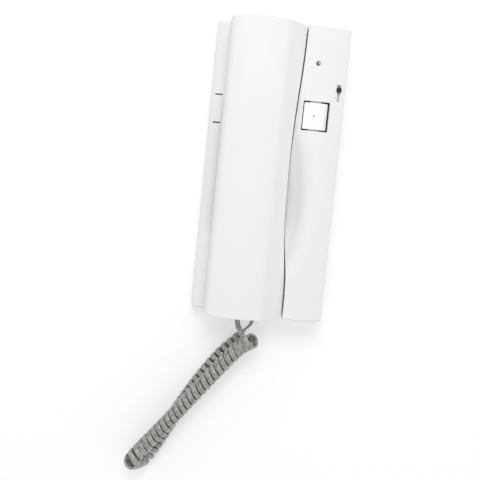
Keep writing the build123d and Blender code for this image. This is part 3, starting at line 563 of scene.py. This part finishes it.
blade_tree = blade_row_tree()
sockets = {item.name: item.identifier for item in blade_tree.interface.items_tree}
print("tree inputs:", ", ".join(sockets))

# %% [markdown]
# The blades stand side by side across the plug, near the end that goes into the socket first.
# Each row rides with the plug that it belongs to: one with the base, one with the handset.

# %% Four gold contacts in each plug
contact_count = 4
contact_step = 0.00102
contact_blade = (0.00035, 0.0024, 0.0016)
base_contact_place = (-0.0007, -0.1018, 0.00695)
handset_contact_place = (-0.0132, -0.1028, 0.02135)
faces_of_blade = 6


def contact_row(name, middle, body):
    """A plug's contacts as one plain mesh, made by the tree."""
    row = bpy.data.objects.new(name, bpy.data.meshes.new(name))
    bpy.context.scene.collection.objects.link(row)
    made = row.modifiers.new("blades", "NODES")
    made.node_group = blade_tree
    half_row = contact_step * (contact_count - 1) / 2
    made[sockets["Count"]] = contact_count
    made[sockets["Start"]] = (middle[0] - half_row, middle[1], middle[2])
    made[sockets["Step"]] = (contact_step, 0.0, 0.0)
    made[sockets["Blade"]] = contact_blade
    made[sockets["Finish"]] = finishes["contact_gold"]
    graph = bpy.context.evaluated_depsgraph_get()
    mesh = bpy.data.meshes.new_from_object(row.evaluated_get(graph), depsgraph=graph)
    row.modifiers.clear()
    row.data = mesh
    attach(row, body)
    return row


base_contacts = contact_row("base_plug_contacts", base_contact_place, "base")
handset_contacts = contact_row("handset_plug_contacts", handset_contact_place, "handset")
for row in (base_contacts, handset_contacts):
    print(row.name, len(row.data.polygons) // faces_of_blade)

# %% [markdown]
# ## The curly cord's middle line
# A curly cord is a flat cord wound into a close coil that springs back. Here the whole coil is
# folded in two: one leg lies on the other, and both tails go back into the telephone. So the
# coil's middle line comes first. It is a NURBS curve through places given along the fold's line,
# across it and up from the floor. The places by the fold keep the turn round.

# %% Route of the coil's middle line
fold_start = Vector((-0.0056, -0.1314, 0.0))
fold_angle = math.radians(37.6)
coil_route = [
    (-0.0070, 0.0042, 0.0265), (0.0005, 0.0016, 0.0222), (0.010, 0.0, 0.0186),
    (0.092, 0.0, 0.0186), (0.116, -0.0008, 0.0196), (0.1245, -0.0012, 0.0232),
    (0.1297, 0.0004, 0.0225), (0.1287, 0.006, 0.0096), (0.1253, 0.008, 0.00615),
    (0.118, 0.0078, 0.00615), (0.100, 0.0047, 0.00615), (0.078, 0.001, 0.00615),
    (0.050, -0.003, 0.00615), (0.024, -0.0045, 0.00615), (0.008, -0.0030, 0.00615),
    (-0.003, -0.0012, 0.0066),
]
spline_order = 3
axis_resolution = 24


def fold_place(along, across, up):
    """A point given along the fold's line, across it and up."""
    x = fold_start.x - along * math.sin(fold_angle) + across * math.cos(fold_angle)
    y = fold_start.y - along * math.cos(fold_angle) - across * math.sin(fold_angle)
    return Vector((x, y, up))


def smooth_line(points, resolution):
    """Points along the NURBS curve that has these control points."""
    curve = bpy.data.curves.new("line", "CURVE")
    curve.dimensions = "3D"
    curve.resolution_u = resolution
    spline = curve.splines.new("NURBS")
    spline.points.add(len(points) - 1)
    for point, place in zip(spline.points, points):
        point.co = (*place, 1.0)
    spline.order_u = spline_order
    spline.use_endpoint_u = True
    holder = bpy.data.objects.new("line", curve)
    mesh = bpy.data.meshes.new_from_object(holder)
    places = [vertex.co.copy() for vertex in mesh.vertices]
    bpy.data.objects.remove(holder)
    bpy.data.curves.remove(curve)
    bpy.data.meshes.remove(mesh)
    return places


axis_line = smooth_line([fold_place(*place) for place in coil_route], axis_resolution)
axis_reach = [0.0]
for before, after in zip(axis_line, axis_line[1:]):
    axis_reach.append(axis_reach[-1] + (after - before).length)
print("middle line", round(axis_reach[-1] * 1000, 1), "mm")

# %% [markdown]
# ## Winding the turns
# Some fifty turns follow the middle line. Turn by turn the winding moves on by one pitch. The
# plan says how wide the pitch is from turn to turn: tight at the handset's end and beyond the
# fold, wider round the fold itself, where the turns fan out, and again at the base's end. Each
# turn also leans a little, as a turn does on a coil that has been stretched. A control point of
# a NURBS lies outside its curve, so it is set further out than the turn's own radius.

# %% Control points of the wound cord
from bisect import bisect_right

coil_turns = 55
points_per_turn = 12
coil_radius = 0.0051
control_radius = coil_radius / math.cos(math.pi / points_per_turn)
coil_phase = 0.58
first_turn = 0.5
last_turn = 54.25
turn_slack = 0.01
pitch_plan = [
    (0, 0.8), (1.5, 0.85), (3, 1.0), (12, 1.0), (16, 0.96), (29, 0.96), (29.5, 1.12),
    (31.5, 1.12), (33, 0.92), (41, 0.95), (44, 1.05), (51, 1.05), (52.5, 1.15), (55, 1.15),
]
lean_ahead = 0.001
lean_aside = 0.0008


def planned_pitch(turn):
    """How wide the pitch is at a turn, compared with the others."""
    for (before, low), (after, high) in zip(pitch_plan, pitch_plan[1:]):
        if turn <= after:
            return low + (high - low) * (turn - before) / (after - before)
    return pitch_plan[-1][1]


def on_axis(reach):
    """Place and direction on the middle line at a distance from its start."""
    i = min(max(bisect_right(axis_reach, reach) - 1, 0), len(axis_line) - 2)
    step = axis_line[i + 1] - axis_line[i]
    return axis_line[i] + step * ((reach - axis_reach[i]) / step.length), step.normalized()


def wind():
    """Turn count, middle and outward direction of each control point."""
    steps = coil_turns * points_per_turn
    pitches = [planned_pitch((i + 0.5) / points_per_turn) for i in range(steps)]
    unit = axis_reach[-1] / sum(pitches)
    farthest = max(range(len(axis_line)), key=lambda i: (axis_line[i] - axis_line[0]).length)
    normal = Vector((0, 0, 1))
    reach = 0.0
    fold_turn = 0.0
    wound = []
    for i in range(steps + 1):
        turn = i / points_per_turn
        if reach < axis_reach[farthest]:
            fold_turn = turn
        place, way = on_axis(reach)
        normal = (normal - way * normal.dot(way)).normalized()
        angle = 2 * math.pi * (turn + coil_phase)
        out = normal * math.cos(angle) - way.cross(normal) * math.sin(angle)
        lean = way * (lean_ahead * math.cos(angle) + lean_aside * math.sin(angle))
        wound.append((turn, place + out * control_radius + lean, out))
        reach += unit * pitches[min(i, steps - 1)]
    return wound, fold_turn


wound, fold_turn = wind()
lowest, highest = first_turn - turn_slack, last_turn + turn_slack
wound = [item for item in wound if lowest <= item[0] <= highest]
print("control points", len(wound), "fold at turn", round(fold_turn, 1))

# %% [markdown]
# ## Two cords that meet at the fold
# The handset lifts off, and one leg of the coil stretches with it while the other stays. So the
# cord is made as two pieces that meet at the fold. Each has its tail: straight out of the plug,
# then an easy bend into the nearest turn. A flat cord also needs to know which way its face
# looks, so a second curve runs beside the first, and the line from one to the other is that
# direction. The cord's edges are rounded, so its section is a flattened ring of twelve points.

# %% Tails and the flat cord's mesh
cord_width = 0.0041
cord_thickness = 0.0019
section_points = 12
face_fullness = 0.6
edge_fullness = 0.7
face_reach = 0.001
cord_resolution = 3
handset_exit = Vector((-0.0132, -0.1122, 0.023))
base_exit = Vector((-0.0007, -0.1112, 0.0086))
handset_tail = [
    (handset_exit, (0.0, 0.0, 1.0)),
    ((-0.0132, -0.117, 0.023), (0.0, 0.0, 1.0)),
    ((-0.0102, -0.123, 0.0258), (-0.1, 0.0, 1.0)),
    ((-0.006, -0.1285, 0.030), (-0.1, 0.0, 1.0)),
]
base_tail = [
    (base_exit, (0.0, 0.0, 1.0)),
    ((-0.0007, -0.1157, 0.0086), (-0.8, 0.0, 0.6)),
    ((-0.0024, -0.1213, 0.0070), (-0.9, 0.4, 0.1)),
    ((-0.0070, -0.1262, 0.0036), (-0.6, 0.7, -0.4)),
]


def tail(points):
    """A tail's control points, each with the direction in which the flat cord's face looks."""
    return [(Vector(place), Vector(face).normalized()) for place, face in points]


def cord_section():
    """Offsets across a flat cord with rounded edges: along its thickness and its width."""
    offsets = []
    for i in range(section_points):
        angle = 2 * math.pi * (i + 0.5) / section_points
        flat, wide = math.cos(angle), math.sin(angle)
        offsets.append((
            math.copysign(abs(flat) ** face_fullness, flat) * cord_thickness / 2,
            math.copysign(abs(wide) ** edge_fullness, wide) * cord_width / 2,
        ))
    return offsets


def flat_cord(name, control):
    """A flat cord, the middle line that it follows, and its length."""
    middle = smooth_line([place for place, _ in control], cord_resolution)
    beside = smooth_line([place + out * face_reach for place, out in control], cord_resolution)
    section = cord_section()
    shape = bmesh.new()
    rings = []
    for i, place in enumerate(middle):
        way = (middle[min(i + 1, len(middle) - 1)] - middle[max(i - 1, 0)]).normalized()
        out = beside[i] - place
        out = (out - way * out.dot(way)).normalized()
        side = way.cross(out)
        rings.append([shape.verts.new(place + out * deep + side * wide) for deep, wide in section])
    for ring, following in zip(rings, rings[1:]):
        for i in range(section_points):
            j = (i + 1) % section_points
            shape.faces.new((ring[i], ring[j], following[j], following[i]))
    shape.faces.new(reversed(rings[0]))
    shape.faces.new(rings[-1])
    bmesh.ops.recalc_face_normals(shape, faces=shape.faces)
    mesh = bpy.data.meshes.new(name)
    shape.to_mesh(mesh)
    shape.free()
    mesh.shade_smooth()
    mesh.materials.append(finishes["cord_sheath"])
    piece = bpy.data.objects.new(name, mesh)
    bpy.context.scene.collection.objects.link(piece)
    length = sum((after - before).length for before, after in zip(middle, middle[1:]))
    print(name, round(length, 3), "m,", len(mesh.polygons), "faces")
    return piece, middle, length


# %% [markdown]
# Both halves have the last control point before the fold and the first one after it, so they
# overlap there by one short step and look like one cord. The base's tail is written from the
# plug outwards, so it is turned round before it ends the second half.

# %% Both halves of the cord
near_turns = [(place, out) for turn, place, out in wound if turn <= fold_turn]
far_turns = [(place, out) for turn, place, out in wound if turn > fold_turn]
near_control = tail(handset_tail) + near_turns + far_turns[:1]
far_control = near_turns[-1:] + far_turns + tail(base_tail)[::-1]
handset_cord, handset_middle, handset_length = flat_cord("handset_half_cord", near_control)
base_cord, base_middle, base_length = flat_cord("base_half_cord", far_control)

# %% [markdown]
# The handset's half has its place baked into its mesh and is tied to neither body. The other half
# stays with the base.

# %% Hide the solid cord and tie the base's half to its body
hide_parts("cord_handset_tail", "curly_cord")
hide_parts("cord_base_tail", "curly_cord")
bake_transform(handset_cord)
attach(base_cord, "base")
print("whole cord", round(handset_length + base_length, 2), "m")

# %% [markdown]
# ## Floor
# The floor is plain and pale. Rays from the camera, and those that gloss or clear plastic sends
# on, get a little glow on top, so that the floor reads as white paper and still keeps the soft
# shadow under the telephone.

# %% Pale floor that keeps the shadow
floor_reach = 3.0
floor_level = -0.0001
floor_grey = 0.62
floor_glow = 0.42

floor_mesh = bpy.data.meshes.new("floor")
corners = [
    (x * floor_reach, y * floor_reach, floor_level)
    for x, y in ((-1, -1), (1, -1), (1, 1), (-1, 1))
]
floor_mesh.from_pydata(corners, [], [(0, 1, 2, 3)])
floor = bpy.data.objects.new("floor", floor_mesh)
bpy.context.scene.collection.objects.link(floor)

paper = bpy.data.materials.new("paper")
paper.use_nodes = True
tree = paper.node_tree
tree.nodes.clear()
diffuse = tree.nodes.new("ShaderNodeBsdfDiffuse")
diffuse.inputs["Color"].default_value = (floor_grey, floor_grey, floor_grey, 1.0)
glow = tree.nodes.new("ShaderNodeEmission")
strength = tree.nodes.new("ShaderNodeMath")
strength.operation = "MULTIPLY"
strength.inputs[1].default_value = floor_glow
both = tree.nodes.new("ShaderNodeAddShader")
end = tree.nodes.new("ShaderNodeOutputMaterial")
tree.links.new(seen_share(tree), strength.inputs[0])
tree.links.new(strength.outputs["Value"], glow.inputs["Strength"])
tree.links.new(diffuse.outputs["BSDF"], both.inputs[0])
tree.links.new(glow.outputs["Emission"], both.inputs[1])
tree.links.new(both.outputs["Shader"], end.inputs["Surface"])
floor_mesh.materials.append(paper)
print("floor", 2 * floor_reach, "m wide")

# %% Bring the scene up to date
import json

bpy.context.view_layer.update()
